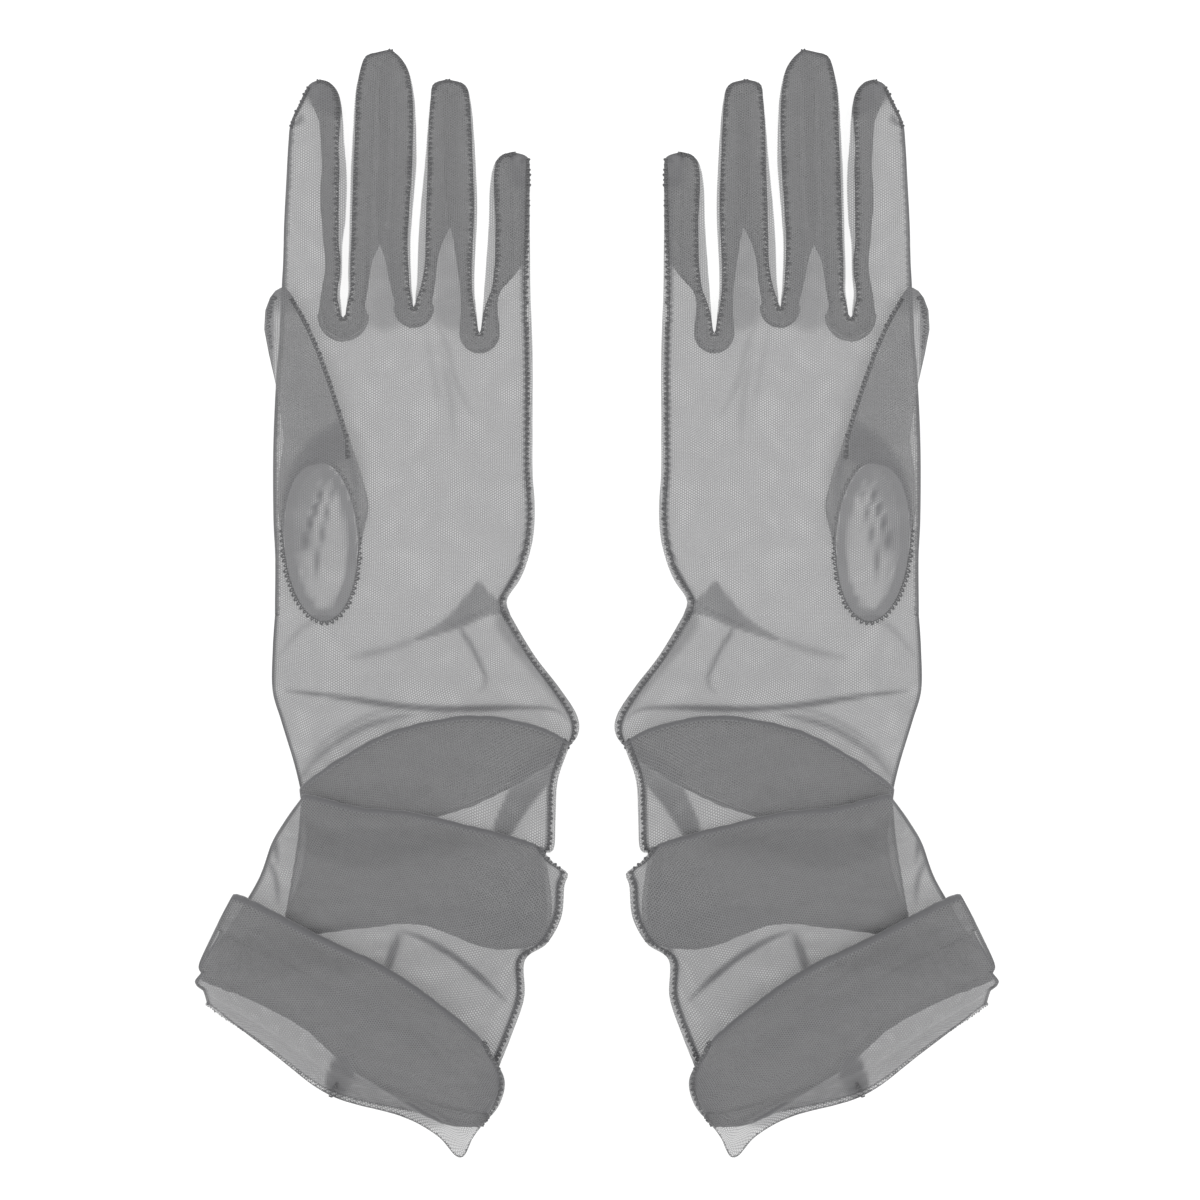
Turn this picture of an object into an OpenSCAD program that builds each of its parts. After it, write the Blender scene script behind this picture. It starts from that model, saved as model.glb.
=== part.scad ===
// A pair of sheer net opera gloves, laid flat with the palms up and the long sleeves pushed down
// into gathers. Millimetres, +Z up. The origin is on the surface that the gloves lie on, midway
// between the two gloves and midway from the longest fingertip to the lowest point of the mouths.
// Each glove is an open, flattened shell of cloth: a trank folded along the index side, fourchettes
// between the fingers, a set-in thumb, and a sleeve in three sections that pull out along the arm.
// Every module below draws the left glove about its own middle line; the right one is its mirror.

/* [Cloth] */
// Thickness of each cloth wall
cloth = 0.8; // [0.6:0.1:1.0]
// Width of an overlocked seam
seam_w = 1.2; // [1.0:0.1:1.6]
// Outer height of the flattened hand and fingers
hand_h = 7.0; // [6.6:0.2:8.0]
// Outer height of the flattened thumb, which lies on the palm
thumb_h = 6.0; // [5.8:0.2:7.0]

/* [Hand] */
// Distance between the middle lines of the two gloves
glove_pitch = 124; // [122:1:140]
// Flat width of the palm
palm_w = 83; // [82:0.5:84]
// Height of the web line between the index and middle fingers
web_y = 90; // [88:1:92]
// Distance from the web line to the knuckle line where a finger bends
knuckle_rise = 22; // [20:1:24]
// Height of the line where the thumb bends, above the wrist
thumb_bend_y = 48; // [47:0.5:50]

/* [Fingers] */
// Index finger's length above the web line
index_len = 78.6; // [74:0.2:84]
// Middle finger's length above the web line
middle_len = 87.6; // [82:0.2:87.6]
// Ring finger's length above the web line
ring_len = 78.6; // [74:0.2:84]
// Little finger's length above the web line
little_len = 55.3; // [52:0.1:60]
// Thumb's length above the line where it bends
thumb_len = 52.5; // [50:0.5:54]

/* [Sleeve] */
// Outer height of the sleeve at the wrist
wrist_h = 8; // [7:0.5:9]
// Outer height of the gathered folds
gather_h = 13; // [11:0.5:15]
// Outer height of the rolled cuff
cuff_h = 16; // [14:0.5:18]
// Slant of the cuff, in degrees below the level, towards the little finger
cuff_slant = 30; // [28:0.5:32]

/* [Hidden] */
gap = 1.2; // free width between two bodies at a hinge or a slide
side = palm_w / 2;
pair_half = glove_pitch / 2;
wrist_y = -16; // the line where the wrist bends
root_y = web_y - 12; // the fingers' outlines are drawn from here up
hand_low = cloth; // the room inside the hand, between its two plies
hand_high = hand_h - cloth;
thumb_z = hand_h + 0.4;
thumb_top = thumb_z + thumb_h;
hem_w = 2.4;
hem_h = 0.8;

// A finger's numbers, in this order.
ROOT_X = 0; // middle line at the root, and at the tip
TIP_X = 1;
ROOT_W = 2; // width at the root, just past half way, and at the shoulder of the tip
MID_W = 3;
SHOULDER_W = 4;
ROOT_Y = 5; // heights of the root, the tip and the line where it bends
TIP_Y = 6;
BEND_Y = 7;

index = [-29.8, -26.8, 18.0, 19.8, 18.4, root_y, web_y + index_len, web_y + knuckle_rise];
middle = [-7.9, -5.6, 19.6, 20.8, 19.4, root_y, web_y + middle_len, web_y + knuckle_rise];
ring = [13.9, 15.8, 18.4, 17.6, 15.4, root_y, web_y + ring_len, web_y + knuckle_rise];
little = [34.0, 35.2, 14.8, 13.4, 12.6, root_y, web_y + little_len, web_y + knuckle_rise - 6];
thumb = [-26.0, -38.2, 21.6, 17.4, 12.4, thumb_bend_y, thumb_bend_y + thumb_len, thumb_bend_y];

// How far each web lies below the web line.
index_web = 2;
middle_web = 0;
little_web = 5;

function mix(a, b, t) = a + (b - a) * t;
function clamp(x) = min(1, max(0, x));
function reversed(list) = [for (i = [len(list) - 1:-1:0]) list[i]];
function moved(list, dx, dy = 0) = [for (p = list) [p[0] + dx, p[1] + dy]];

function along(f, y) = clamp((y - f[ROOT_Y]) / (f[TIP_Y] - f[ROOT_Y]));
function centre_x(f, y) = mix(f[ROOT_X], f[TIP_X], along(f, y));
function dome_y(f) = f[TIP_Y] - 0.62 * f[SHOULDER_W];
// Half a finger's width at height y, with an elliptical dome over its shoulder.
function half_w(f, y) =
    let (widths = [[0, f[ROOT_W]], [0.55, f[MID_W]], [0.85, f[SHOULDER_W]], [1, f[SHOULDER_W]]],
         rise = clamp((y - dome_y(f)) / (f[TIP_Y] - dome_y(f))))
    lookup(along(f, y), widths) / 2 * sqrt(max(0, 1 - rise * rise));
// The heights at which a finger's edge is drawn, closer together round the tip.
function levels(f, low) = concat(
    [for (i = [0:6]) mix(low, dome_y(f), i / 6)],
    [for (a = [15:15:90]) mix(dome_y(f), f[TIP_Y], sin(a))]);
// One edge of a finger from height low to its tip: side -1 is the left edge, and 1 the right.
function edge(f, low, s) = [for (y = levels(f, low)) [centre_x(f, y) + s * half_w(f, y), y]];
// The same edge between two heights below the tip.
function edge_run(f, low, high, s, inset = 0) =
    [for (i = [0:5]) let (y = mix(low, high, i / 5)) [centre_x(f, y) + s * (half_w(f, y) - inset), y]];
function bend_edge(f) = f[BEND_Y] - gap / 2;
// The finger's numbers again, for the room inside a wall of the given thickness.
function taken_in(f, wall) = [
    f[ROOT_X], f[TIP_X], f[ROOT_W] - 2 * wall, f[MID_W] - 2 * wall, f[SHOULDER_W] - 2 * wall,
    f[ROOT_Y], f[TIP_Y] - wall, f[BEND_Y]];

// The path down finger a's inner edge, round the web and up finger b's. Inset moves it into the cloth.
function web_path(a, b, drop, inset = 0) =
    let (low = web_y - drop,
         left = centre_x(a, low) + half_w(a, low),
         right = centre_x(b, low) - half_w(b, low),
         r = (right - left) / 2 + inset)
    concat(
        reversed(edge_run(a, low, bend_edge(a), 1, inset)),
        [for (t = [195:15:345]) [(left + right) / 2 + r * cos(t), low + r * sin(t)]],
        edge_run(b, low, bend_edge(b), -1, inset));

hand_left = concat(
    [[-side, wrist_y + gap / 2], [-side - 0.3, 20], [-side, 60]],
    edge_run(index, root_y + 4, bend_edge(index), -1));
hand_right = concat(
    [[side, wrist_y + gap / 2], [38, -8], [34, 1], [39.5, 12], [side, 28], [side, root_y]],
    edge_run(little, root_y + 4, bend_edge(little), 1));

// An oval with its long half-width ry up the page, leaning by tilt.
function oval(cx, cy, rx, ry, tilt) =
    [for (a = [0:12:348])
        [cx + rx * cos(a) * cos(tilt) - ry * sin(a) * sin(tilt),
         cy + rx * cos(a) * sin(tilt) + ry * sin(a) * cos(tilt)]];

module slab(low, high) {
    translate([0, 0, low]) linear_extrude(high - low) children();
}

// Outline of the hand from the wrist to the lines where the fingers bend.
module hand_2d() {
    polygon(concat(
        hand_left,
        web_path(index, middle, index_web),
        web_path(middle, ring, middle_web),
        web_path(ring, little, little_web),
        reversed(hand_right)));
}

// The thumb's oval hole in the palm, made wider by grow.
hole_y = 20.5;
hole_ry = 25.5;

module thumb_hole_2d(grow) {
    polygon(oval(-26.5, hole_y, 11.5 + grow, hole_ry + grow, 3));
}

module palm() {
    color("gray") slab(hand_high, hand_h) difference() {
        hand_2d();
        thumb_hole_2d(0);
    }
}

module back() {
    color("gray") slab(0, cloth) hand_2d();
}

// A wall of cloth that follows the points, width to the right of them or, if negative, to the left.
module wall_2d(points, width) {
    polygon(concat(points, reversed(moved(points, width))));
}

// The folded edge of the trank, on the index side of the hand.
module index_fold() {
    color("gray") slab(hand_low, hand_high) wall_2d(hand_left, cloth);
}

// The sewn side seam, on the little finger's side of the hand.
module hand_side_seam() {
    color("dimgray") slab(hand_low, hand_high) wall_2d(hand_right, -seam_w);
}

// The lower part of a fourchette: it lines the slot between two fingers, round the web.
module web_gusset(a, b, drop) {
    color("darkgray") slab(hand_low, hand_high)
        polygon(concat(web_path(a, b, drop, cloth), reversed(web_path(a, b, drop))));
}

// The whole outline of a finger above height low.
module finger_2d(f, low) {
    polygon(concat(edge(f, low, -1), reversed(edge(f, low, 1))));
}

// One side wall of a finger, from the line where it bends round to the middle of its tip.
module finger_wall_2d(f, s, width) {
    low = f[BEND_Y] + gap / 2;
    intersection() {
        difference() {
            finger_2d(f, low);
            finger_2d(taken_in(f, width), low - 1);
        }
        translate([f[TIP_X] + (s > 0 ? 0 : -f[MID_W]), low - 2]) square([f[MID_W], f[TIP_Y] - low + 4]);
    }
}

module fourchette(f, s) {
    color("darkgray") slab(hand_low, hand_high) finger_wall_2d(f, s, cloth);
}

// The palm side and the back of a finger, which the fourchettes join.
module stall(f) {
    low = f[BEND_Y] + gap / 2;
    color("gray") {
        slab(0, cloth) finger_2d(f, low);
        slab(hand_high, hand_h) finger_2d(f, low);
    }
}

module index_stall_fold() {
    color("gray") slab(hand_low, hand_high) finger_wall_2d(index, -1, cloth);
}

module little_side_seam() {
    color("dimgray") slab(hand_low, hand_high) finger_wall_2d(little, 1, seam_w);
}

// The thumb beyond its bend: a flattened tube, closed round the tip and lying on the palm.
module thumb_stall() {
    low = thumb_bend_y + gap / 2;
    color("gray") difference() {
        slab(thumb_z, thumb_top) finger_2d(thumb, low);
        slab(thumb_z + cloth, thumb_top - cloth) finger_2d(taken_in(thumb, cloth), low - 1);
    }
}

// The thumb's base: a hood over the thumb hole, which falls from the bend line to the palm.
hood_x = -37.5;
hood_w = 22.5;
hood_shoulder = [18, 4.6]; // where the hood starts to fall, and its height over the palm there
hood_foot = [-29, 10, hole_y - hole_ry - 1.5]; // left corner, width and height of its foot
rib = 0.5; // thickness of the slices that the hood is drawn over

module hood_solid(inset) {
    z = hand_h - inset;
    reach = inset > 0 ? 1 : 0; // the room inside opens past the hood's end
    hull() {
        translate([hood_x + inset, thumb_bend_y - gap / 2 - rib + reach, z])
            cube([hood_w - 2 * inset, rib, thumb_top - hand_h]);
        translate([hood_x + inset, hood_shoulder[0], z])
            cube([hood_w - 2 * inset, rib, hood_shoulder[1]]);
        translate([hood_foot[0] + inset, hood_foot[2] + inset, z])
            cube([hood_foot[1] - 2 * inset, rib, cloth + 0.1]);
    }
}

module thumb_hood() {
    color("gray") difference() {
        hood_solid(0);
        hood_solid(cloth);
    }
}

// The seam that sets the thumb into its hole, on the inner face of the palm.
module thumb_seam() {
    color("dimgray") slab(hand_high - 0.4, hand_high) difference() {
        thumb_hole_2d(seam_w);
        thumb_hole_2d(0);
    }
}

// A section of the sleeve is a C of cloth between two edges, each drawn from the hand's end down. It is
// folded on the left, and a seam closes the right. Above and below are the run of its two open ends.
module sleeve_section(left, right, height, above, below) {
    last = len(left) - 1;
    low = len(right) - 1;
    color("gray") difference() {
        slab(0, height) polygon(concat(left, reversed(right)));
        slab(cloth, height - cloth)
            polygon(concat(
                [left[0] + above + [cloth, 0]], moved(left, cloth),
                [left[last] + below + [cloth, 0], right[low] + below + [2, 0]],
                reversed(moved(right, 2)), [right[0] + above + [2, 0]]));
    }
}

module section_seam(right, height) {
    color("dimgray") slab(cloth, height - cloth) wall_2d(right, -seam_w);
}

wrist_left = [[-side, wrist_y - gap / 2], [-42.2, -28], [-38.5, -46], [-34, -61]];
wrist_right = [[42.5, wrist_y - gap / 2], [50, -25], [56.4, -38], [56, -46], [50.5, -56], [49.5, -61]];

slant = [cos(cuff_slant), -sin(cuff_slant)];
gather_foot = [-54, -93]; // the left end of the line along which the cuff slides off the gathers
gather_left = [[-34, -61 - gap], [-40, -75], [-45, -84], gather_foot];
gather_right = [[49.3, -61 - gap], [49, -76], [53.4, -88], [51.5, -98], [47.5, -107], [38.2, -115],
                [38.7, -127], gather_foot + slant * 99];

cuff_top = gather_foot - [0, gap / cos(cuff_slant)];
cuff_left = [cuff_top, [-59, -105], [-66, -120], [-62.5, -130]];
mouth = [[-44, -143.5], [-22, -158.4], [4, -166.5], [19, -177.6]];
cuff_right = [cuff_top + slant * 97, [32.2, -154], [26, -164], [19, -177.6]];

module wrist_sleeve() {
    sleeve_section(wrist_left, wrist_right, wrist_h, [0, 1], [0, -1]);
}

module wrist_seam() {
    section_seam(wrist_right, wrist_h);
}

module gathers() {
    sleeve_section(gather_left, gather_right, gather_h, [0, 1], [0, -2]);
}

module gather_seam() {
    section_seam(gather_right, gather_h);
}

module cuff() {
    color("gray") difference() {
        slab(0, cuff_h) polygon(concat(cuff_left, mouth, reversed(cuff_right)));
        slab(cloth, cuff_h - cloth)
            polygon(concat(
                [cuff_top + [cloth, 2]], moved(cuff_left, cloth), moved(mouth, 0, -3), [[40, -170]],
                [cuff_right[0] + [3, 0], cuff_right[0] + [3, 2]]));
    }
}

module cuff_seam() {
    section_seam([cuff_right[0], cuff_right[1], cuff_right[2], cuff_right[3] + [1.6, 3]], cuff_h);
}

// The narrow turned hem of the mouth, on its upper ply.
module hem() {
    run = concat([cuff_left[3]], mouth);
    color("dimgray") slab(cuff_h, cuff_h + hem_h) polygon(concat(run, reversed(moved(run, 0.6, hem_w))));
}

module left_glove() {
    translate([-pair_half, 0, 0]) children();
}

module right_glove() {
    mirror([1, 0, 0]) left_glove() children();
}

left_glove() palm();  // left_palm
left_glove() back();  // left_back
left_glove() index_fold();  // left_index_fold
left_glove() hand_side_seam();  // left_hand_side_seam
left_glove() web_gusset(index, middle, index_web);  // left_index_middle_gusset
left_glove() web_gusset(middle, ring, middle_web);  // left_middle_ring_gusset
left_glove() web_gusset(ring, little, little_web);  // left_ring_little_gusset
left_glove() thumb_hood();  // left_thumb_hood
left_glove() thumb_seam();  // left_thumb_seam
left_glove() thumb_stall();  // left_thumb_stall
left_glove() stall(index);  // left_index_stall
left_glove() index_stall_fold();  // left_index_stall_fold
left_glove() fourchette(index, 1);  // left_index_fourchette
left_glove() stall(middle);  // left_middle_stall
left_glove() fourchette(middle, -1);  // left_middle_fourchette_a
left_glove() fourchette(middle, 1);  // left_middle_fourchette_b
left_glove() stall(ring);  // left_ring_stall
left_glove() fourchette(ring, -1);  // left_ring_fourchette_a
left_glove() fourchette(ring, 1);  // left_ring_fourchette_b
left_glove() stall(little);  // left_little_stall
left_glove() fourchette(little, -1);  // left_little_fourchette
left_glove() little_side_seam();  // left_little_side_seam
left_glove() wrist_sleeve();  // left_wrist_sleeve
left_glove() wrist_seam();  // left_wrist_seam
left_glove() gathers();  // left_gathers
left_glove() gather_seam();  // left_gather_seam
left_glove() cuff();  // left_cuff
left_glove() cuff_seam();  // left_cuff_seam
left_glove() hem();  // left_hem
right_glove() palm();  // right_palm
right_glove() back();  // right_back
right_glove() index_fold();  // right_index_fold
right_glove() hand_side_seam();  // right_hand_side_seam
right_glove() web_gusset(index, middle, index_web);  // right_index_middle_gusset
right_glove() web_gusset(middle, ring, middle_web);  // right_middle_ring_gusset
right_glove() web_gusset(ring, little, little_web);  // right_ring_little_gusset
right_glove() thumb_hood();  // right_thumb_hood
right_glove() thumb_seam();  // right_thumb_seam
right_glove() thumb_stall();  // right_thumb_stall
right_glove() stall(index);  // right_index_stall
right_glove() index_stall_fold();  // right_index_stall_fold
right_glove() fourchette(index, 1);  // right_index_fourchette
right_glove() stall(middle);  // right_middle_stall
right_glove() fourchette(middle, -1);  // right_middle_fourchette_a
right_glove() fourchette(middle, 1);  // right_middle_fourchette_b
right_glove() stall(ring);  // right_ring_stall
right_glove() fourchette(ring, -1);  // right_ring_fourchette_a
right_glove() fourchette(ring, 1);  // right_ring_fourchette_b
right_glove() stall(little);  // right_little_stall
right_glove() fourchette(little, -1);  // right_little_fourchette
right_glove() little_side_seam();  // right_little_side_seam
right_glove() wrist_sleeve();  // right_wrist_sleeve
right_glove() wrist_seam();  // right_wrist_seam
right_glove() gathers();  // right_gathers
right_glove() gather_seam();  // right_gather_seam
right_glove() cuff();  // right_cuff
right_glove() cuff_seam();  // right_cuff_seam
right_glove() hem();  // right_hem
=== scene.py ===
"""A pair of sheer tulle opera gloves, laid flat with the palms up and the sleeves pushed into gathers.

Each glove is worked out flat in millimetres about its own middle line, as a pattern cutter would draw
it: +X towards the little finger, +Y to the fingertips and +Z up off the table. Points go to metres,
and to their side of the pair, only when a mesh is made. The right-hand glove is the left one mirrored.
"""

import math

import bmesh
import bpy
import numpy as np
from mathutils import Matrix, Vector, noise
from mathutils.geometry import delaunay_2d_cdt


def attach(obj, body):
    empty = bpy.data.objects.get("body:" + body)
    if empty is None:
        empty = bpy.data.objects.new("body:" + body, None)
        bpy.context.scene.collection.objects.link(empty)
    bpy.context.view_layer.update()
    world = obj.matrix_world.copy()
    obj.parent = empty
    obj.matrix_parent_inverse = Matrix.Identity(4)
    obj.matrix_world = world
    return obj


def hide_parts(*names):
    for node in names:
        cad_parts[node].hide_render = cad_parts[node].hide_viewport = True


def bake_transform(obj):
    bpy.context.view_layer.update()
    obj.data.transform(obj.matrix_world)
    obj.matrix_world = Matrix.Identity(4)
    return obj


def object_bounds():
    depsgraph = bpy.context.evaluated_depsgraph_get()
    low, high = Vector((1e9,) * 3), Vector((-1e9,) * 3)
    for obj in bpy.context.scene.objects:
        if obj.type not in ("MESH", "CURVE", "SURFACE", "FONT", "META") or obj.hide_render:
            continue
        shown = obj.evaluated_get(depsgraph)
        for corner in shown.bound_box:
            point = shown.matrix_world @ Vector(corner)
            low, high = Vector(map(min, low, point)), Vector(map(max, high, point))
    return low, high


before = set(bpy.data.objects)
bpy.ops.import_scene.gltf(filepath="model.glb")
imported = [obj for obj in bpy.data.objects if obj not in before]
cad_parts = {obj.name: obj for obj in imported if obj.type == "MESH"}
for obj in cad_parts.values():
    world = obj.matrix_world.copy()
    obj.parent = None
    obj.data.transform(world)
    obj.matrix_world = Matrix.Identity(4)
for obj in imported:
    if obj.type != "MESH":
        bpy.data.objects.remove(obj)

CAD_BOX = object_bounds()
MM = 0.001
GLOVE_PITCH = 124.0  # between the two gloves' middle lines

# ---------------------------------------------------------------- sizes of the glove, in millimetres
HAND_Z = 2.1  # middle of the flattened hand above the table
HAND_HALF = 1.35  # half the room between its two plies
EDGE_ROLL = 6.0  # how far in from a closed edge the plies part fully
SEAM_MARGIN = 2.2  # cloth outside the side seam
FINGER_CUT_Y = 98.0  # the hand's cloth hands over to the fingers' here
WRIST_CUT_Y = -4.0  # and to the sleeve's here
PLY_STEP = 1.3  # distance between a flat ply's points

# Each finger's two edges from the root to the middle of its tip, where its tip is, how deep the tip's
# dome is and the line where it bends.
FINGERS = {
    "index": dict(
        left=[(-40.2, 86), (-39.4, 103), (-39.0, 110), (-38.7, 122), (-38.1, 135), (-37.4, 148),
              (-36.6, 154.8), (-33.8, 161), (-30.8, 166.8), (-27.4, 168.6)],
        right=[(-20.2, 86), (-20.2, 94), (-20.8, 100), (-20.2, 106), (-20.0, 116), (-19.0, 124),
               (-18.6, 137), (-19.4, 148), (-20.0, 157), (-21.2, 164), (-24.0, 167.6), (-27.4, 168.6)],
        tip=168.6, dome=12.0, bend=112.0),
    "middle": dict(
        left=[(-18.9, 86), (-18.9, 94), (-18.0, 100), (-18.0, 108), (-17.6, 122), (-17.2, 138),
              (-16.4, 153), (-15.8, 163), (-14.6, 169.5), (-12.6, 175.8), (-8.4, 177.3), (-4.4, 178.2)],
        right=[(3.2, 86), (2.9, 95), (2.2, 103), (1.9, 116), (2.6, 127), (3.8, 142), (3.6, 156),
               (3.0, 164), (1.4, 171.2), (-1.2, 175.5), (-4.4, 178.2)],
        tip=178.2, dome=11.0, bend=112.0),
    "ring": dict(
        left=[(3.2, 86), (3.4, 96), (4.1, 104), (4.6, 118), (5.4, 129), (6.7, 142), (7.7, 154),
              (8.5, 162), (9.4, 167), (14.0, 168.6)],
        right=[(24.0, 86), (22.8, 96), (22.5, 106), (23.2, 120), (23.4, 129), (23.0, 140),
               (22.3, 152), (21.4, 161), (19.6, 166.8), (14.0, 168.6)],
        tip=168.6, dome=8.0, bend=112.0),
    "little": dict(
        left=[(24.5, 86), (25.2, 93), (25.8, 102), (26.4, 110), (27.2, 122), (27.6, 134),
              (28.8, 140.6), (31.2, 144.2), (35.2, 145.3)],
        right=[(40.9, 86), (40.6, 100), (40.4, 122), (40.4, 138), (39.8, 143.4), (35.2, 145.3)],
        tip=145.3, dome=6.0, bend=106.0),
}
ORDER = list(FINGERS)
WEB_Y = (91.9, 94.9, 86.6)  # lowest point of each slot, from the index side
INDEX_FOLD = [(-41.7, -4), (-41.6, 14), (-42.2, 28), (-42.2, 50), (-41.3, 72), (-40.2, 86)]
SIDE_SEAM = [(34.2, -4), (33.0, 1), (37.1, 7.4), (39.7, 13.8), (41.6, 22), (42.0, 32), (41.3, 42),
             (41.3, 60), (41.3, 80), (41.0, 90)]
THUMB_HOLE = dict(x=-26.8, y=20.0, rx=12.0, ry=26.0, tilt=3.0)


# ---------------------------------------------------------------- curves
def smooth(points, step=1.5, count=None):
    """A smooth curve through the points (Catmull-Rom), resampled evenly."""
    p = np.array(points, float)
    p = np.vstack([2 * p[0] - p[1], p, 2 * p[-1] - p[-2]])
    t = np.linspace(0, 1, 16, endpoint=False)[:, None]
    fine = [0.5 * (2 * b + (c - a) * t + (2 * a - 5 * b + 4 * c - d) * t**2
                   + (3 * b - a - 3 * c + d) * t**3)
            for a, b, c, d in zip(p, p[1:], p[2:], p[3:])]
    return evenly(np.vstack([*fine, p[-2]]), step, count)


def evenly(line, step=1.5, count=None):
    line = np.array(line, float)
    along = np.concatenate([[0], np.cumsum(np.linalg.norm(np.diff(line, axis=0), axis=1))])
    count = count or max(2, round(along[-1] / step) + 1)
    at = np.linspace(0, along[-1], count)
    return np.stack([np.interp(at, along, line[:, k]) for k in range(line.shape[1])], axis=1)


def ease(t):
    t = np.clip(t, 0, 1)
    return t * t * (3 - 2 * t)


def away_from(points, line):
    """How far each point is from a polyline."""
    best = np.full(len(points), 1e9)
    for a, b in zip(line[:-1], line[1:]):
        d = b - a
        t = np.clip((points - a) @ d / max(d @ d, 1e-12), 0, 1)
        best = np.minimum(best, np.linalg.norm(points - a - t[:, None] * d, axis=1))
    return best


def inside(points, loop):
    x, y = points[:, 0], points[:, 1]
    odd = np.zeros(len(points), bool)
    for (x0, y0), (x1, y1) in zip(loop, np.roll(loop, -1, axis=0)):
        cross = (y0 > y) != (y1 > y)
        with np.errstate(divide="ignore", invalid="ignore"):
            odd ^= cross & (x < (x1 - x0) * (y - y0) / (y1 - y0) + x0)
    return odd


def finger_half(f, y):
    """Half the finger's width at height y, and its middle line's x."""
    left, right = (np.interp(y, *np.array(f[k]).T[::-1]) for k in ("left", "right"))
    return (right - left) / 2, (left + right) / 2


def finger_edge(name, side, low):
    """One edge of a finger from height low to the middle of its tip."""
    points = np.array(FINGERS[name]["right" if side > 0 else "left"])
    line = smooth(points, 0.3)
    start = [np.interp(low, line[:, 1], line[:, 0]), low]
    return evenly(np.vstack([start, line[line[:, 1] > low + 0.05]]), 1.2)


def web_circle(i):
    """The small circle that rounds the web between finger i and the next one: its middle and radius."""
    half_a, x_a = finger_half(FINGERS[ORDER[i]], WEB_Y[i] + 1)
    half_b, x_b = finger_half(FINGERS[ORDER[i + 1]], WEB_Y[i] + 1)
    left, right = x_a + half_a, x_b - half_b
    r = (right - left) / 2
    return np.array([(left + right) / 2, WEB_Y[i] + r]), r


def slot(i):
    """The slot between finger i and the next one: down to its web's middle, and up from there."""
    middle, r = web_circle(i)
    turn = np.radians(np.linspace(180, 270, 5))
    down = middle + r * np.stack([np.cos(turn), np.sin(turn)], axis=1)
    up = down[::-1] * [-1, 1] + [2 * middle[0], 0]
    return down, up


def cloth_edge(name, side):
    """A finger's edge from the web, or the hand's edge, to the tip."""
    i = ORDER.index(name)
    if side > 0 and name != "little":
        low = slot(i)[0][0][1]
    elif side < 0 and name != "index":
        low = slot(i - 1)[1][-1][1]
    else:
        low = 90.0
    return finger_edge(name, side, low)


# ---------------------------------------------------------------- heights of the two plies
def swell(x, y):
    """The slow rise and fall of cloth that was smoothed out by hand."""
    return 0.35 * np.sin(x / 13 + y / 41 + 1.3) * np.cos(y / 19 - x / 60) + 0.2 * np.sin((x - y) / 9.0)


def closed_lines():
    """The edges where the two plies meet: the fold, the side seam and the fingertips."""
    fold = np.vstack([smooth([(-42.6, -40), (-42.2, -20), *INDEX_FOLD]), cloth_edge("index", -1)])
    seam = np.vstack([smooth([(47.5, -25), (39.0, -12), *SIDE_SEAM]), cloth_edge("little", 1)])
    tips = []
    for name, f in FINGERS.items():
        for side in (-1, 1):
            edge = cloth_edge(name, side)
            tips.append(edge[edge[:, 1] > f["tip"] - 0.45 * f["dome"]])
    return fold, seam, tips


FOLD_LINE, SEAM_LINE, TIP_LINES = closed_lines()


def parting(points):
    """Half the room between the plies: nothing at a closed edge, and full EDGE_ROLL in from it."""
    d = np.minimum(away_from(points, FOLD_LINE),
                   np.maximum(away_from(points, SEAM_LINE) - SEAM_MARGIN, 0.02))
    for line in TIP_LINES:
        d = np.minimum(d, away_from(points, line) * 1.4)
    t = 1 - np.clip(d / EDGE_ROLL, 0, 1)
    return HAND_HALF * np.sqrt(np.maximum(0, 1 - t * t))


def ply_height(points, ply):
    """Height of the palm's ply (1), the back's ply (-1) or the middle between them (0)."""
    x, y = points[:, 0], points[:, 1]
    return HAND_Z + swell(x, y) + ply * parting(points)


# ---------------------------------------------------------------- meshes
def placed(name, data):
    """An object with this data, at the origin and in the scene."""
    obj = bpy.data.objects.new(name, data)
    bpy.context.scene.collection.objects.link(obj)
    return obj


def to_metres(points, side):
    """From a glove's own millimetres to the pair's metres. Side is -1 for the left-hand glove."""
    p = np.array(points, float)
    p[:, 0] = side * (GLOVE_PITCH / 2 - p[:, 0])
    return p * MM


def make(name, side, points, faces, uvs, material, density):
    """A mesh object of one cloth piece. uvs are the flat cut in millimetres, one for each point."""
    mesh = bpy.data.meshes.new(name)
    turned = [tuple(f) if side < 0 else tuple(reversed(f)) for f in faces]
    mesh.from_pydata(to_metres(points, side).tolist(), [], turned)
    layer = mesh.uv_layers.new(name="flat_cut")
    loops = np.zeros(len(mesh.loops), np.int32)
    mesh.loops.foreach_get("vertex_index", loops)
    layer.data.foreach_set("uv", (np.array(uvs, float)[loops] * MM).ravel())
    # crowding of the net: it thickens the net and also darkens its colour as painted shade
    crowd = mesh.attributes.new("crowding_and_shade", "FLOAT", "POINT")
    crowd.data.foreach_set("value", np.clip(density, -0.6, 1).astype(np.float32))
    mesh.polygons.foreach_set("use_smooth", [True] * len(mesh.polygons))
    mesh.materials.append(material)
    return placed(name, mesh)


def weld(obj, reach=0.02):
    """Joins the two plies where they meet."""
    bm = bmesh.new()
    bm.from_mesh(obj.data)
    bmesh.ops.remove_doubles(bm, verts=bm.verts, dist=reach * MM)
    bmesh.ops.dissolve_degenerate(bm, edges=bm.edges, dist=1e-7)
    bm.to_mesh(obj.data)
    bm.free()
    return obj


def flat_area(obj):
    """Area of the piece's flat cut, in square metres."""
    mesh = obj.data
    mesh.calc_loop_triangles()
    uv = np.zeros(len(mesh.loops) * 2)
    mesh.uv_layers["flat_cut"].data.foreach_get("uv", uv)
    uv = uv.reshape(-1, 2)
    tri = np.array([t.loops[:] for t in mesh.loop_triangles])
    a, b, c = uv[tri[:, 0]], uv[tri[:, 1]], uv[tri[:, 2]]
    area = np.abs(np.cross(b - a, c - a)).sum() / 2
    return area, np.ptp(uv, axis=0)


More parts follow.
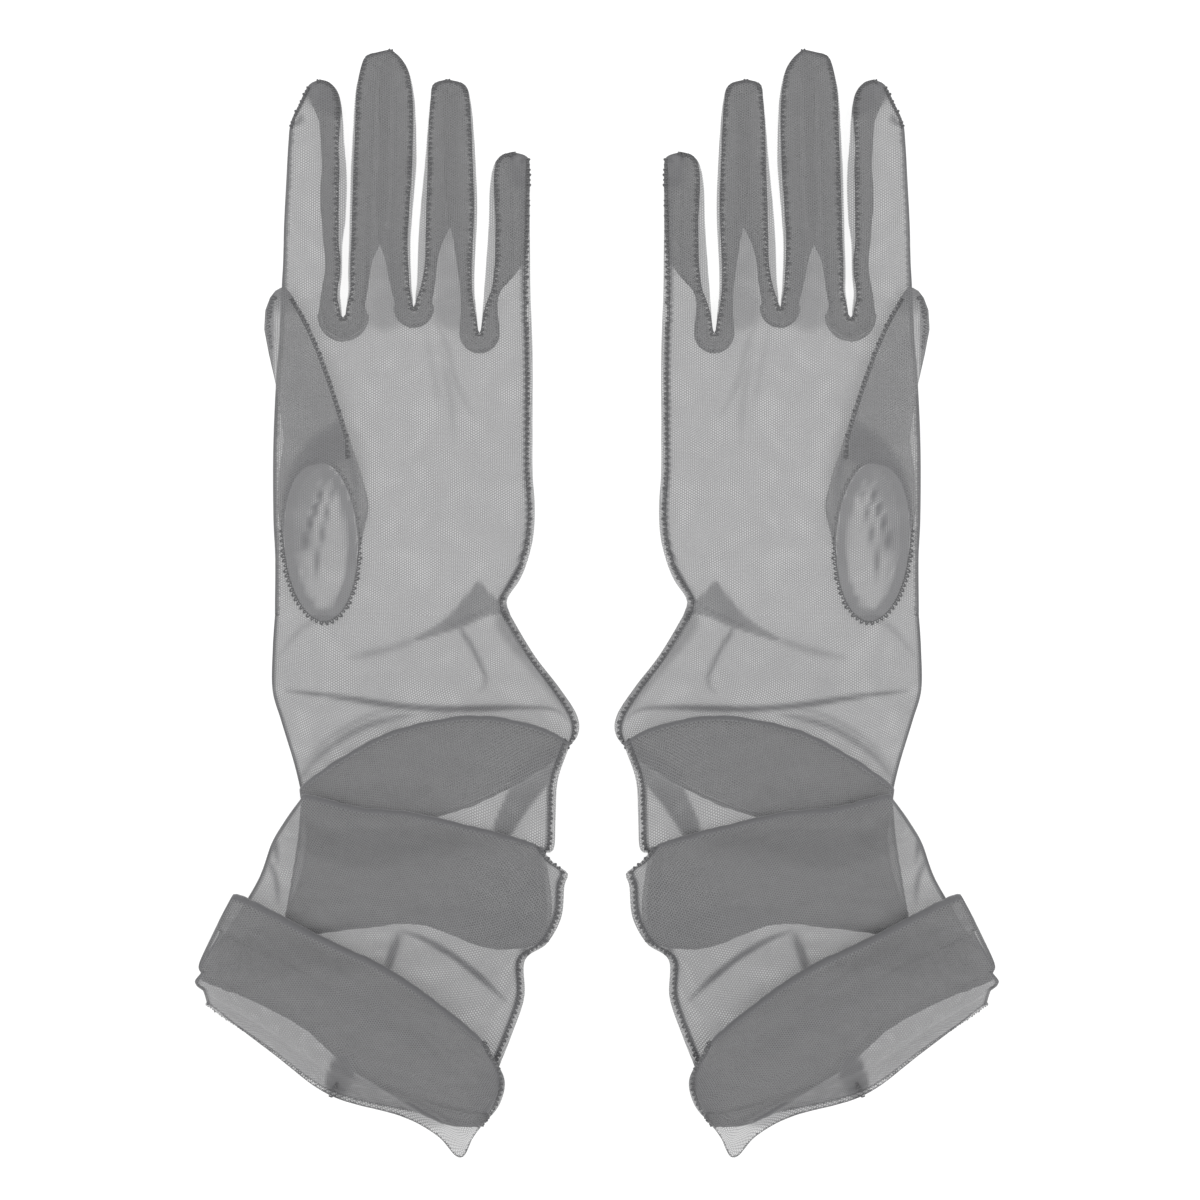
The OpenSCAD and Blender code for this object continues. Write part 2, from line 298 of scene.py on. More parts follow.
def sheet(obj):
    area, (width, length) = flat_area(obj)
    return obj


def ply(outline, hole=None, step=PLY_STEP):
    """Points and triangles that fill a flat outline, finer just inside its edge."""
    outline = np.array(outline)
    loops = [outline] + ([hole] if hole is not None else [])
    low, high = outline.min(0), outline.max(0)
    rows = np.arange(low[1], high[1], step * 0.87)
    grid = np.vstack([np.stack([np.arange(low[0] + (k % 2) * step / 2, high[0], step),
                                np.full(len(np.arange(low[0] + (k % 2) * step / 2, high[0], step)), y)], 1)
                      for k, y in enumerate(rows)])
    closed = [np.vstack([loop, loop[:1]]) for loop in loops]
    far = np.min([away_from(grid, c) for c in closed], axis=0)
    keep = inside(grid, outline) & (far > 1.1)
    if hole is not None:
        keep &= ~inside(grid, hole)
    near = []
    for loop in loops:
        t = np.roll(loop, -1, axis=0) - np.roll(loop, 1, axis=0)
        n = np.stack([-t[:, 1], t[:, 0]], 1) / np.maximum(np.linalg.norm(t, axis=1), 1e-9)[:, None]
        for sign in (-1, 1):
            p = loop + sign * n * 0.6
            ok = inside(p, outline) & (np.min([away_from(p, c) for c in closed], axis=0) > 0.5)
            if hole is not None:
                ok &= ~inside(p, hole)
            near.append(p[ok])
    points = np.vstack([*loops, grid[keep], *near])
    edges, start = [], 0
    for loop in loops:
        n = len(loop)
        edges += [(start + k, start + (k + 1) % n) for k in range(n)]
        start += n
    out = delaunay_2d_cdt([Vector(p) for p in points], edges, [], 0, 1e-5)
    verts, faces = np.array([tuple(v) for v in out[0]]), out[2]
    middle = np.array([verts[list(f)].mean(0) for f in faces])
    good = inside(middle, outline)
    if hole is not None:
        good &= ~inside(middle, hole)
    return verts, [f for f, g in zip(faces, good) if g]


def two_plies(name, side, outline, material, hole=None):
    """A flat tube of cloth: the palm's ply with its hole, and the back's ply, welded where they meet."""
    top, top_faces = ply(outline, hole)
    back, back_faces = ply(outline)
    points = np.vstack([np.column_stack([top, ply_height(top, 1)]),
                        np.column_stack([back, ply_height(back, -1)])])
    faces = [tuple(f) for f in top_faces]
    faces += [tuple(len(top) + k for k in reversed(f)) for f in back_faces]
    left = outline[:, 0].min()
    uvs = np.vstack([np.column_stack([top[:, 0] - left, top[:, 1]]),
                     np.column_stack([left - back[:, 0], back[:, 1]])])
    density = crowding_and_shade(points[:, :2])
    return weld(make(name, side, points, faces, uvs, material, density))


# Where the cloth is creased or lies folded over on itself: how crowded the net is there (which also
# sets its painted shade), the width of the crease or of the patch's soft edge, and its line or outline.
HAND_CREASES = [
    (0.07, 1.0, [(8.9, 93.8), (13.8, 82.6), (16.6, 71.4), (23, 58.6)]),
    (0.06, 1.1, [(11.8, 82.6), (15, 65), (15.7, 50)]),
    (0.04, 1.0, [(6.5, 88), (9.5, 74), (11.5, 60)]),
    (0.3, 0.8, [(33.5, 3), (27, -1.5), (20, -5), (8, -10)]),
    (0.1, 1.2, [(8, -10), (-6, -15), (-20, -18)]),
    (0.2, 0.8, [(20.2, -2.7), (18.5, -8.6), (21.0, -12.8), (25.2, -21.1), (26, -26.2), (22.7, -29.7)]),
    (0.08, 1.0, [(-41, -18), (-34, -9), (-27, -4), (-19, 6)]),
    (0.45, 0.8, [(-36.6, 154.4), (-34.6, 159), (-31.4, 164.6)]),
    (0.35, 0.7, [(-36.4, 154.2), (-33.8, 155.2), (-32.0, 157.6)]),
]
HAND_PATCHES = [
    (0.2, 0.9, [(23.6, 7.4), (29, 1.8), (35, -2.5), (27, -4), (19.2, -7.4), (8, -11), (2.9, -11.8),
                 (12, -6), (18, 0)]),
    (0.13, 3.0, [(33, 0.6), (42.0, -12), (53.5, -31), (55, -40), (50, -33), (39, -20), (29.5, -7)]),
    (0.1, 4.0, [(-9, 118), (-3, 118), (0.5, 94), (-6, 88), (-13, 94)]),
    (0.1, 3.5, [(12, 124), (17, 124), (20, 92), (10, 92)]),
    (0.32, 0.8, [(33.5, 148), (43, 148), (43, 135.5), (35.0, 134)]),
    (0.3, 1.6, [(-34, 168), (-27, 172), (-20, 170), (-19, 158), (-25, 157.5), (-30, 161)]),
]


def creased(xy, creases, patches):
    """The crowding from creases and folded-over patches, which also sets the painted shade there."""
    value = np.zeros(len(xy))
    for strength, width, line in creases:
        path = smooth(line)
        nearest = np.linalg.norm(xy[:, None] - path[None], axis=2).argmin(axis=1) / (len(path) - 1)
        fade = np.interp(nearest, [0, 0.3, 0.7, 1], [0.35, 1, 1, 0.2])
        spread = width * fade ** 0.5
        value = np.maximum(value, strength * fade * np.exp(-(away_from(xy, path) / spread) ** 2))
    for strength, soft, outline in patches:
        loop = smooth([*outline, outline[0]])
        depth = np.where(inside(xy, loop), 1, -1) * away_from(xy, loop)
        value = np.maximum(value, strength * ease(depth / soft + 0.5))
    return value


def crowding_and_shade(xy):
    """How crowded the hand's net is along creases, the rolled fold and the side seam; the tulle also darkens
    with it as painted shade.
    """
    value = creased(xy, HAND_CREASES, HAND_PATCHES)
    value = np.maximum(value, 0.75 * np.exp(-(away_from(xy, FOLD_LINE) / 0.7) ** 2))
    value = np.maximum(value, 0.45 * np.exp(-((away_from(xy, SEAM_LINE) - SEAM_MARGIN) / 0.5) ** 2))
    for line in TIP_LINES:
        value = np.maximum(value, 0.5 * np.exp(-(away_from(xy, line) / 1.6) ** 2))
    return value


# ---------------------------------------------------------------- hand and fingers
def cut_row(name):
    """The points where the hand's cloth hands over to a finger's, from left to right."""
    half, x = finger_half(FINGERS[name], FINGER_CUT_Y)
    return evenly([(x - half, FINGER_CUT_Y), (x + half, FINGER_CUT_Y)], 1.9)


def hand_outline():
    """Up the index fold, over the four finger roots and round the three webs, and down the side seam."""
    fold = smooth(INDEX_FOLD)
    run = [fold]
    for i, name in enumerate(ORDER):
        row = cut_row(name)
        run.append(row)
        if i < 3:
            down, up = slot(i)
            run.append(evenly([row[-1], down[0]], 1.3)[1:-1])
            run.append(down)
            run.append(up[1:])
            run.append(evenly([up[-1], cut_row(ORDER[i + 1])[0]], 1.3)[1:-1])
    run.append(smooth(SIDE_SEAM)[::-1])
    wrist = evenly([run[-1][-1], fold[0]], 2.0)[1:-1]
    return tidy_loop(np.vstack([*run, wrist]))


def tidy_loop(loop):
    """Leaves out points that lie on their neighbour."""
    keep = np.linalg.norm(loop - np.roll(loop, 1, axis=0), axis=1) > 0.12
    return loop[keep]


def finger_outline(name):
    left = finger_edge(name, -1, FINGER_CUT_Y)
    right = finger_edge(name, 1, FINGER_CUT_Y)
    return tidy_loop(np.vstack([left, right[::-1][1:], cut_row(name)[::-1][1:-1]]))


def hole_rim(count=48):
    a = np.linspace(0, 2 * np.pi, count, endpoint=False)
    c, s = math.cos(math.radians(THUMB_HOLE["tilt"])), math.sin(math.radians(THUMB_HOLE["tilt"]))
    x, y = THUMB_HOLE["rx"] * np.cos(a), THUMB_HOLE["ry"] * np.sin(a)
    return np.stack([THUMB_HOLE["x"] + x * c - y * s, THUMB_HOLE["y"] + x * s + y * c], axis=1)


# Each fourchette leg, by finger and edge. margin is the cloth that stands out past its seam and depth how
# far in from that its fold lies, both by height in the glove.
LEG_Y = [86, 93, 97, 101, 106, 111, 116, 124, 134, 146, 156, 164, 170, 178]
LEGS = {
    ("index", 1): dict(margin=[0, 0.3, 0.9, 0.8, 0.5, 0.5, 1.2, 2.2, 2.5, 2.0, 0.8, 0.3, 0, 0],
                       depth=[8.0, 7.4, 5.6, 4.6, 4.8, 5.0, 5.2, 5.4, 5.6, 5.8, 6.6, 9.0, 8.0, 8.0]),
    ("middle", -1): dict(margin=[0, 0.2, 0.5, 0.8, 0.8, 0.8, 0.9, 0.9, 1.0, 0.9, 0.7, 0.4, 0.2, 0],
                         depth=[8.0, 7.2, 5.0, 5.0, 6.0, 7.2, 9.4, 10.6, 10.9, 11.0, 10.8, 10.4, 10.4, 9.0]),
    ("middle", 1): dict(margin=[0, 0, 0.3, 0.6, 0.7, 0.8, 0.9, 1.0, 1.2, 1.3, 0.8, 0.5, 0.2, 0],
                        depth=[7.0, 7.0, 5.2, 5.6, 6.6, 7.6, 9.4, 10.2, 10.8, 11.0, 10.8, 10.4, 10.4, 9.0]),
    ("ring", -1): dict(margin=[0, 0, 0.4, 1.4, 2.2, 2.6, 2.5, 2.2, 1.6, 0.8, 0.3, 0.1, 0, 0],
                       depth=[7.0, 7.0, 4.8, 4.0, 3.8, 4.0, 5.2, 8.4, 9.0, 9.2, 9.0, 9.0, 9.0, 9.0]),
    ("ring", 1): dict(margin=[0, 0.2, 0.6, 0.9, 0.9, 1.0, 1.0, 1.0, 1.0, 0.9, 0.6, 0.3, 0, 0],
                      depth=[6.2, 4.8, 4.0, 3.8, 4.2, 4.8, 5.6, 8.4, 9.2, 9.2, 9.0, 9.0, 9.0, 9.0]),
    ("little", -1): dict(margin=[0, 0.3, 1.2, 2.6, 2.9, 2.9, 2.6, 2.2, 1.4, 0, 0, 0, 0, 0],
                         depth=[6.2, 4.6, 3.4, 2.8, 6.4, 9.0, 9.8, 10.8, 11.6, 10.0, 10, 10, 10, 10]),
}


def fourchette_leg(name, side, i, edge_side, material):
    """Half of a fourchette: from the web up one finger's seam, folded into the finger like a bellows.

    Returns it with its seam line along the palm and the line of its inner fold.
    """
    finger = ORDER[i] if edge_side > 0 else ORDER[i + 1]
    web, r = web_circle(i)
    fan = np.radians(np.linspace(270, 180 if edge_side > 0 else 360, 9))
    round_web = web + r * np.stack([np.cos(fan), np.sin(fan)], axis=1)
    straight = finger_edge(finger, edge_side, web[1])[1:]
    edge = np.vstack([round_web, straight])
    t = np.gradient(straight, axis=0)
    t /= np.linalg.norm(t, axis=1)[:, None]
    inward = np.vstack([np.stack([np.cos(fan), np.sin(fan)], axis=1),
                        np.stack([-t[:, 1], t[:, 0]], axis=1) * edge_side])
    leg = LEGS[finger, edge_side]
    path = edge + inward * np.interp(edge[:, 1], LEG_Y, leg["margin"])[:, None]
    along = np.concatenate([[0], np.cumsum(np.linalg.norm(np.diff(path, axis=0), axis=1))])
    s = along / along[-1]
    depth = np.interp(edge[:, 1], LEG_Y, leg["depth"])
    depth += 0.35 * np.sin(along / 5.0 + i) * np.interp(s, [0, 0.2, 0.8, 1], [0.2, 1, 1, 0])
    depth = np.clip(depth, 0.1, None) * np.clip((1 - s) / 0.01, 0.05, 1)
    folds = np.array([-1, -0.9, -0.7, -0.45, -0.2, -0.05, 0, 0.05, 0.2, 0.45, 0.7, 0.9, 1])
    half = parting(path)
    shift = 0.22 * edge_side
    points, uvs = [], []
    for k, p in enumerate(path):
        for f in folds:
            reach = depth[k] * (1 - abs(f)) + 0.05
            xy = p + inward[k] * reach
            z = HAND_Z + swell(*p) + shift * (1 - abs(f)) + half[k] * 0.97 * (0.16 * np.sign(f) + 0.84 * f)
            points.append((*xy, z))
            uvs.append((f * (depth[k] + half[k]), along[k]))
    n = len(folds)
    faces = [(r * n + c, r * n + c + 1, (r + 1) * n + c + 1, (r + 1) * n + c)
             for r in range(len(path) - 1) for c in range(n - 1)]
    if edge_side < 0:
        faces = [tuple(reversed(f)) for f in faces]
    # the net is doubled along the seam, and crowded again at the fold; the crowding also darkens it a little
    # as painted shade
    from_seam = np.outer(depth, 1 - np.abs(folds)).ravel()
    density = 0.16 + 0.06 * (from_seam < 5.8) - 0.5 * np.exp(-((from_seam - 0.4) / 0.5) ** 2)
    obj = make(name, side, points, faces, uvs, material, density)
    inner = path + inward * np.minimum(depth, 5.8)[:, None]
    inner = np.column_stack([inner, HAND_Z + swell(path[:, 0], path[:, 1])])[: int(len(path) * 0.86)]
    return obj, path, inner


# ---------------------------------------------------------------- thumb
THUMB_RINGS = 48
# The thumb beyond its hole, by height: its left and right edges and half its thickness.
THUMB_Y = [52, 60, 70, 80, 88, 94, 98, 100.2, 101.2]
THUMB_LEFT = [-38.3, -39.4, -41.0, -43.3, -44.8, -44.4, -42.9, -41.2, -39.4]
THUMB_RIGHT = [-17.2, -19.6, -22.8, -26.3, -29.8, -33.0, -35.4, -36.9, -37.9]
THUMB_HALF = [1.25, 1.3, 1.3, 1.2, 1.1, 0.9, 0.65, 0.35, 0.05]
THUMB_RISE = 2.4  # the thumb's middle above the palm's ply
THUMB_OVERHANG = -41.5  # past here the thumb lies beyond the hand's edge
THUMB_CREASES = [
    (0.5, 1.0, [(-24.4, 44), (-27.0, 34), (-30.5, 24), (-33.4, 11)]),
    (0.36, 0.9, [(-21.8, 42), (-25.4, 26), (-28.5, 10), (-29, 0)]),
    (0.2, 0.8, [(-26.5, 40), (-29, 26), (-31, 12), (-32, 2)]),
    (0.26, 1.2, [(-21.5, 62), (-20, 53), (-16.5, 44), (-14.5, 30)]),
]
THUMB_PATCHES = [
    (0.26, 1.6, [(-20.9, 59), (-18.5, 50), (-20.9, 44.3), (-24.6, 44.3), (-29.8, 29.5), (-33.4, 14.8),
                 (-37.2, 20.7), (-39.0, 32.5), (-34.9, 45.8), (-29.8, 52.5)]),
]


def thumb_rings():
    """Rings of the thumb: they lie in the palm at the hole, turn upright, and go on to the tip."""
    a = np.linspace(0, 2 * np.pi, THUMB_RINGS, endpoint=False)
    rings = []
    rim = hole_rim(THUMB_RINGS)
    for t in np.linspace(0, 1, 34)[:-1] ** 1.25:
        lift = ease(t)
        half_w = np.interp(t, [0, 0.35, 0.7, 1], [12.0, 14.6, 13.0, 10.6])
        x = np.interp(t, [0, 0.35, 1], [THUMB_HOLE["x"], -26.0, -27.8]) + half_w * np.cos(a)
        y = THUMB_HOLE["y"] + 32 * t + THUMB_HOLE["ry"] * (1 - t) ** 1.5 * np.sin(a)
        xy = np.stack([x, y], axis=1)
        xy = rim * (1 - ease(t * 5)) + xy * ease(t * 5)
        z = ply_height(xy, 1) + lift * (THUMB_RISE - 1.25 * np.sin(a))
        rings.append(np.column_stack([xy, z]))
    for y in [*np.linspace(52, 94, 28), 96, 98, 99.3, 100.2, 100.8, 101.2]:
        left, right = np.interp(y, THUMB_Y, THUMB_LEFT), np.interp(y, THUMB_Y, THUMB_RIGHT)
        x = (left + right) / 2 + (right - left) / 2 * np.cos(a)
        xy = np.stack([x, np.full_like(x, y)], axis=1)
        flat = np.sign(np.sin(a)) * np.abs(np.sin(a)) ** 0.7
        middle = HAND_Z + HAND_HALF + swell(xy[:, 0], xy[:, 1]) + THUMB_RISE
        z = middle - np.interp(y, THUMB_Y, THUMB_HALF) * flat
        rings.append(np.column_stack([xy, z]))
    return np.array(rings)


def tube_faces(rows, cols, base=0):
    return [(base + r * cols + c, base + r * cols + (c + 1) % cols,
             base + (r + 1) * cols + (c + 1) % cols, base + (r + 1) * cols + c)
            for r in range(rows - 1) for c in range(cols)]


def thumb_cloth(name, side, material):
    """The thumb, cut in one piece and folded along its outer side."""
    rings = thumb_rings()
    half = THUMB_RINGS // 2
    back = rings[:, : half + 1]
    front = rings[:, list(range(half, THUMB_RINGS)) + [0]]
    rows, cols = front.shape[:2]
    points = np.vstack([front.reshape(-1, 3), back.reshape(-1, 3)])
    faces = []
    for base in (0, rows * cols):
        faces += [(base + r * cols + c, base + (r + 1) * cols + c, base + (r + 1) * cols + c + 1,
                   base + r * cols + c + 1) for r in range(rows - 1) for c in range(cols - 1)]
    tip = (rows - 1) * cols
    faces.append(tuple(range(tip, tip + cols)) + tuple(rows * cols + tip + k for k in range(1, cols - 1)))
    fold = points[:, 0].min()
    turned_over = np.repeat([1, -1], rows * cols)
    uvs = np.column_stack([turned_over * (points[:, 0] - fold), points[:, 1]])
    # crowding of the thumb's net along its fold, its hole, its creases and towards its tip; it also darkens
    # the colour as painted shade
    edge = np.abs(np.cos(np.linspace(0, np.pi, cols)))
    crease = np.tile(0.5 * np.clip((edge - 0.985) / 0.015, 0, 1), rows * 2)
    rim = hole_rim(96)
    from_rim = away_from(points[:, :2], np.vstack([rim, rim[:1]]))
    in_hole = inside(points[:, :2], rim)
    # over the hand it lies loose and open, and past the hand's edge its two sides bunch together
    past = ease((THUMB_OVERHANG - points[:, 0]) / 1.5 + 0.5)
    crease += np.where(in_hole, 0.04 + 0.26 * ease((4.4 - from_rim) / 1.2), 0.44 * past - 0.24)
    crease = np.maximum(crease, creased(points[:, :2], THUMB_CREASES, THUMB_PATCHES))
    crease += np.interp(points[:, 1], [92, 99], [0, 0.3])
    return make(name, side, points, faces, uvs, material, crease)


# ---------------------------------------------------------------- sleeve
# The sleeve runs down from the wrist and doubles back at each fold line. Fold lines run from the
# index side to the little finger's side, and each pass of cloth has its own two side edges.
WRIST_LINE = [(-41.7, -4), (34.2, -4)]
FOLDS = [
    [(-32.6, -64.2), (-14, -68.5), (2, -68.2), (21.4, -63.6), (38, -55.5), (51.0, -48.2)],
    [(-33.2, -60.8), (-18, -50.5), (-1, -42.2), (21.4, -38.1), (40, -40.6), (53.2, -45.8)],
    [(-37.8, -98.9), (-33, -104.4), (-14, -102.6), (5.4, -101.4), (27.8, -109.0), (46.4, -107.6)],
    [(-32.4, -62.4), (-14, -67.2), (2, -68.6), (22, -73.4), (45.0, -79.7)],
    [(-65.0, -119), (-48.4, -125.2), (-31, -134.6), (-18.1, -146.2), (-7.4, -153.0), (11, -164.0),
     (26.0, -166.6)],
    [(-54.7, -94.3), (-46, -98.4), (-24, -110.0), (-1, -122.0), (27.8, -143.7)],
]
MOUTH_ABOVE = [(-63.6, -129.0), (-44, -142.5), (-23.4, -156.6), (5.4, -163.6), (25.4, -167.2)]
MOUTH_BELOW = [(-63.6, -129.0), (-44, -144.0), (-24, -158.6), (-1, -165.6), (10.2, -171.6),
               (18.4, -178.8), (25.4, -167.2)]
LEFT_EDGES = [
    [(-42.4, -15), (-42.5, -27.8), (-39.7, -38), (-35.4, -52)],
    [],
    [(-31.6, -74), (-33.6, -88)],
    [(-36.0, -88), (-33.8, -74)],
    [(-38.0, -70), (-42.2, -77), (-46.7, -89), (-56, -104), (-63.0, -113)],
    [(-65.6, -115.5), (-60.6, -105)],
    [(-59.2, -103.0), (-58.6, -105.2), (-64.8, -115.8), (-64.2, -117.6), (-66.7, -121.2), (-64.8, -123.6)],
]
RIGHT_EDGES = [
    [(38.7, -11.8), (43, -18.4), (50, -27.4), (55.6, -36.2), (55.8, -42.6)],
    [],
    [(49.4, -57), (48.7, -69.4), (48.0, -79.4), (43.8, -81.8), (44.6, -95)],
    [(47.6, -98), (46.6, -88)],
    [(48.6, -83.6), (52.7, -86.6), (51.6, -90.6), (50.6, -100.6), (46.0, -109.0), (38.9, -114.6),
     (38.6, -127), (34.2, -140), (29.6, -152)],
    [(31.4, -155)],
    [(32.4, -152), (31.0, -160)],
]
LEVEL = 1.9  # middle of the lowest pass above the table
PITCHES = (2.7, 2.7, 2.9, 2.9, 4.0, 4.0)  # rise of the cloth at each fold
SLEEVE_HALF = 0.85  # half the room between the sleeve's plies
COLUMNS = 84
PASS_ROWS = (60, 22, 56, 34, 84, 36, 56)
GATHER_CUT = 31.0  # length of the first pass that belongs to the wrist's piece
CUFF_CUT = 0.34  # share of the fifth pass that belongs to the gathers' piece
# The side seam's other end, where it comes round to the front at the mouth.
MOUTH_SEAM = [(-18.4, -146.5, 9.4), (-20.4, -151, 5.6), (-22.4, -155, 4.0), (-24.0, -158, 3.4)]


def across():
    """Shares of the sleeve's width, closer together at its two edges."""
    t = np.linspace(0, 1, COLUMNS)
    return 0.62 * t + 0.38 * (0.5 - 0.5 * np.cos(np.pi * t))


def patch(top, bottom, left, right, rows):
    """A sheet between four curves: top and bottom from left to right, left and right downwards."""
    u, v = across()[None, :, None], np.linspace(0, 1, rows)[:, None, None]
    spread = [smooth(c, count=400) for c in (top, bottom)]
    t, b = (np.stack([np.interp(across(), np.linspace(0, 1, 400), c[:, k]) for k in (0, 1)], 1)
            for c in spread)
    edge = [smooth([c[0], *mid, d[0]] if mid else [c[0], d[0]], count=rows)
            for c, d, mid in ((t, b, left), (t[::-1], b[::-1], right))]
    lf, rt = edge[0][:, None, :], edge[1][:, None, :]
    corners = ((1 - u) * (1 - v) * t[0] + u * (1 - v) * t[-1] + (1 - u) * v * b[0] + u * v * b[-1])
    return (1 - v) * t[None] + v * b[None] + (1 - u) * lf + u * rt - corners


def run_length(grid):
    return np.linalg.norm(np.diff(grid, axis=0), axis=2).sum(0)


def sleeve_passes():
    """The middle surface of each pass, as points in x, y and z. The mouth's lower ply comes last."""
    lines = [WRIST_LINE, *FOLDS, MOUTH_ABOVE]
    grids = []
    for k in range(7):
        rows = PASS_ROWS[k]
        grids.append(patch(lines[k], lines[k + 1], LEFT_EDGES[k], RIGHT_EDGES[k], rows))
    grids.append(patch(lines[6], MOUTH_BELOW, LEFT_EDGES[6], RIGHT_EDGES[6], PASS_ROWS[6]))
    heights = [None] * 8
    v0 = np.linspace(0, 1, len(grids[0]))[:, None]
    heights[0] = HAND_Z + (LEVEL - HAND_Z) * ease(v0 * 1.6) + np.zeros((1, COLUMNS))
    for k in range(1, 8):
        below = k - 1 if k < 7 else 5
        rows = len(grids[k])
        doubles_back = k in (1, 3, 5)
        v = np.linspace(0, 1, rows)[:, None]
        share = np.clip(run_length(grids[k]) / run_length(grids[below]), 0, 1)
        overlap = np.clip(run_length(grids[below]) / run_length(grids[k]), 0, 1)
        pitch = PITCHES[min(k, 6) - 1]
        lower = heights[below]
        at = np.linspace(0, 1, len(lower))
        z = np.empty((rows, COLUMNS))
        for c in range(COLUMNS):
            reach = share[c] if doubles_back else 1.0
            back = 1 - np.minimum(v[:, 0] / (1.0 if doubles_back else overlap[c]), 1) * reach
            z[:, c] = np.interp(back, at, lower[:, c]) + pitch
            if not doubles_back:
                leave = min(overlap[c] + 0.04, 0.8)
                fall = ease((v[:, 0] - leave) / min(0.3, 1 - leave))
                z[:, c] = z[:, c] * (1 - fall) + LEVEL * fall
        heights[k] = z
    return [np.dstack([g, h[:, :, None]]) for g, h in zip(grids, heights)]


def turn(above, below, steps=5):
    """The half circle by which one pass turns into the next, round the end of both."""
    a, b = above[-1], below[0]
    heading = above[-1] - above[-2]
    heading[:, 2] = 0
    heading /= np.maximum(np.linalg.norm(heading, axis=1), 1e-6)[:, None]
    middle, r = (a + b) / 2, (b[:, 2] - a[:, 2])[:, None] / 2
    rows = []
    for k in range(1, steps + 1):
        angle = math.pi * k / (steps + 1)
        row = middle + heading * np.abs(r) * math.sin(angle) * 0.9
        row[:, 2] -= (r * math.cos(angle))[:, 0]
        rows.append(row)
    return np.array(rows)


def sleeve_surface():
    """All passes and turns in one grid for the upper ply and one for the lower, and where each starts."""
    passes = sleeve_passes()
    upper, starts, turning = [], [], []
    for k in range(7):
        starts.append(sum(len(g) for g in upper))
        upper.append(passes[k])
        turning.append(np.zeros(len(passes[k])))
        if k < 6:
            bend = turn(passes[k], passes[k + 1])
            upper.append(bend)
            turning.append(np.ones(len(bend)))
    lower = [*upper[:-1], passes[7]]
    return np.vstack(upper), np.vstack(lower), starts, np.concatenate(turning)


def ripple(p, seed):
    """Fine crumpling of the net, alike for all the passes that lie on each other."""
    return noise.noise(Vector((p[0] / 11, p[1] / 8, seed))) * 0.55 + noise.noise(
        Vector((p[0] / 4.3, p[1] / 3.6, seed + 7))) * 0.16


SLEEVE_CREASES = [
    (0.38, 0.85, [(-37.9, -28.0), (-20, -30.4), (-2.6, -33.0), (12, -34.0), (26, -33.9), (38, -33.6),
                  (48.5, -34.4), (54, -39)]),
    (0.2, 1.0, [(-34.5, -57.5), (-26, -48.0), (-12, -39.5), (6, -35.0)]),
    (0.1, 0.8, [(-33.5, -54.5), (-26, -45.0), (-12, -36.5), (2, -33.0)]),
    (0.42, 0.85, [(0.9, -105.5), (8, -108.4), (16.8, -113.8), (25, -120.6), (33.0, -128.6)]),
    (0.26, 1.2, [(-0.6, -105.0), (-3.6, -112), (-6.0, -120)]),
    (0.2, 1.2, [(46.5, -84), (40, -92), (33, -101)]),
    (0.22, 0.9, [(47.5, -98), (38, -103), (27, -106)]),
    (0.25, 1.0, [(42.5, -102), (38.5, -109), (40.5, -116)]),
    (0.25, 0.8, [(-36.5, -66), (-41, -74), (-40.2, -84)]),
    (0.2, 0.8, [(-44.5, -80), (-41, -88), (-40, -97)]),
    (0.2, 1.2, [(-44, -112), (-20, -128), (6, -142), (22, -156)]),
    (0.14, 1.2, [(-56, -102), (-36, -110), (-10, -126), (14, -144)]),
]
SLEEVE_PATCHES = [
    (0.22, 0.9, [(50.5, -45.0), (37.9, -53.2), (32.5, -63), (28.6, -73.4), (32.8, -76.1), (39.5, -66.7),
                 (47, -57), (51, -50)]),
    (0.28, 1.4, [(-18.0, -144), (-22.4, -146), (-25.2, -158), (-20.5, -160), (-15.5, -150)]),
    (0.13, 1.6, [(-17, -150), (-2, -157), (14, -165.5), (6, -168.6), (-18, -162)]),
    (0.2, 2.0, [(28, -146), (33, -150), (31, -157), (26, -163), (22, -160)]),
    (0.12, 4.0, [(-12, -102), (8, -102), (28, -109), (46, -108), (44, -101), (20, -98)]),
]
# crowding added to each pass of the sleeve below the wrist, which also darkens it as painted shade
PASS_CROWDING_AND_SHADE = (0.02, 0, 0, 0, 0.06, 0, 0.05)


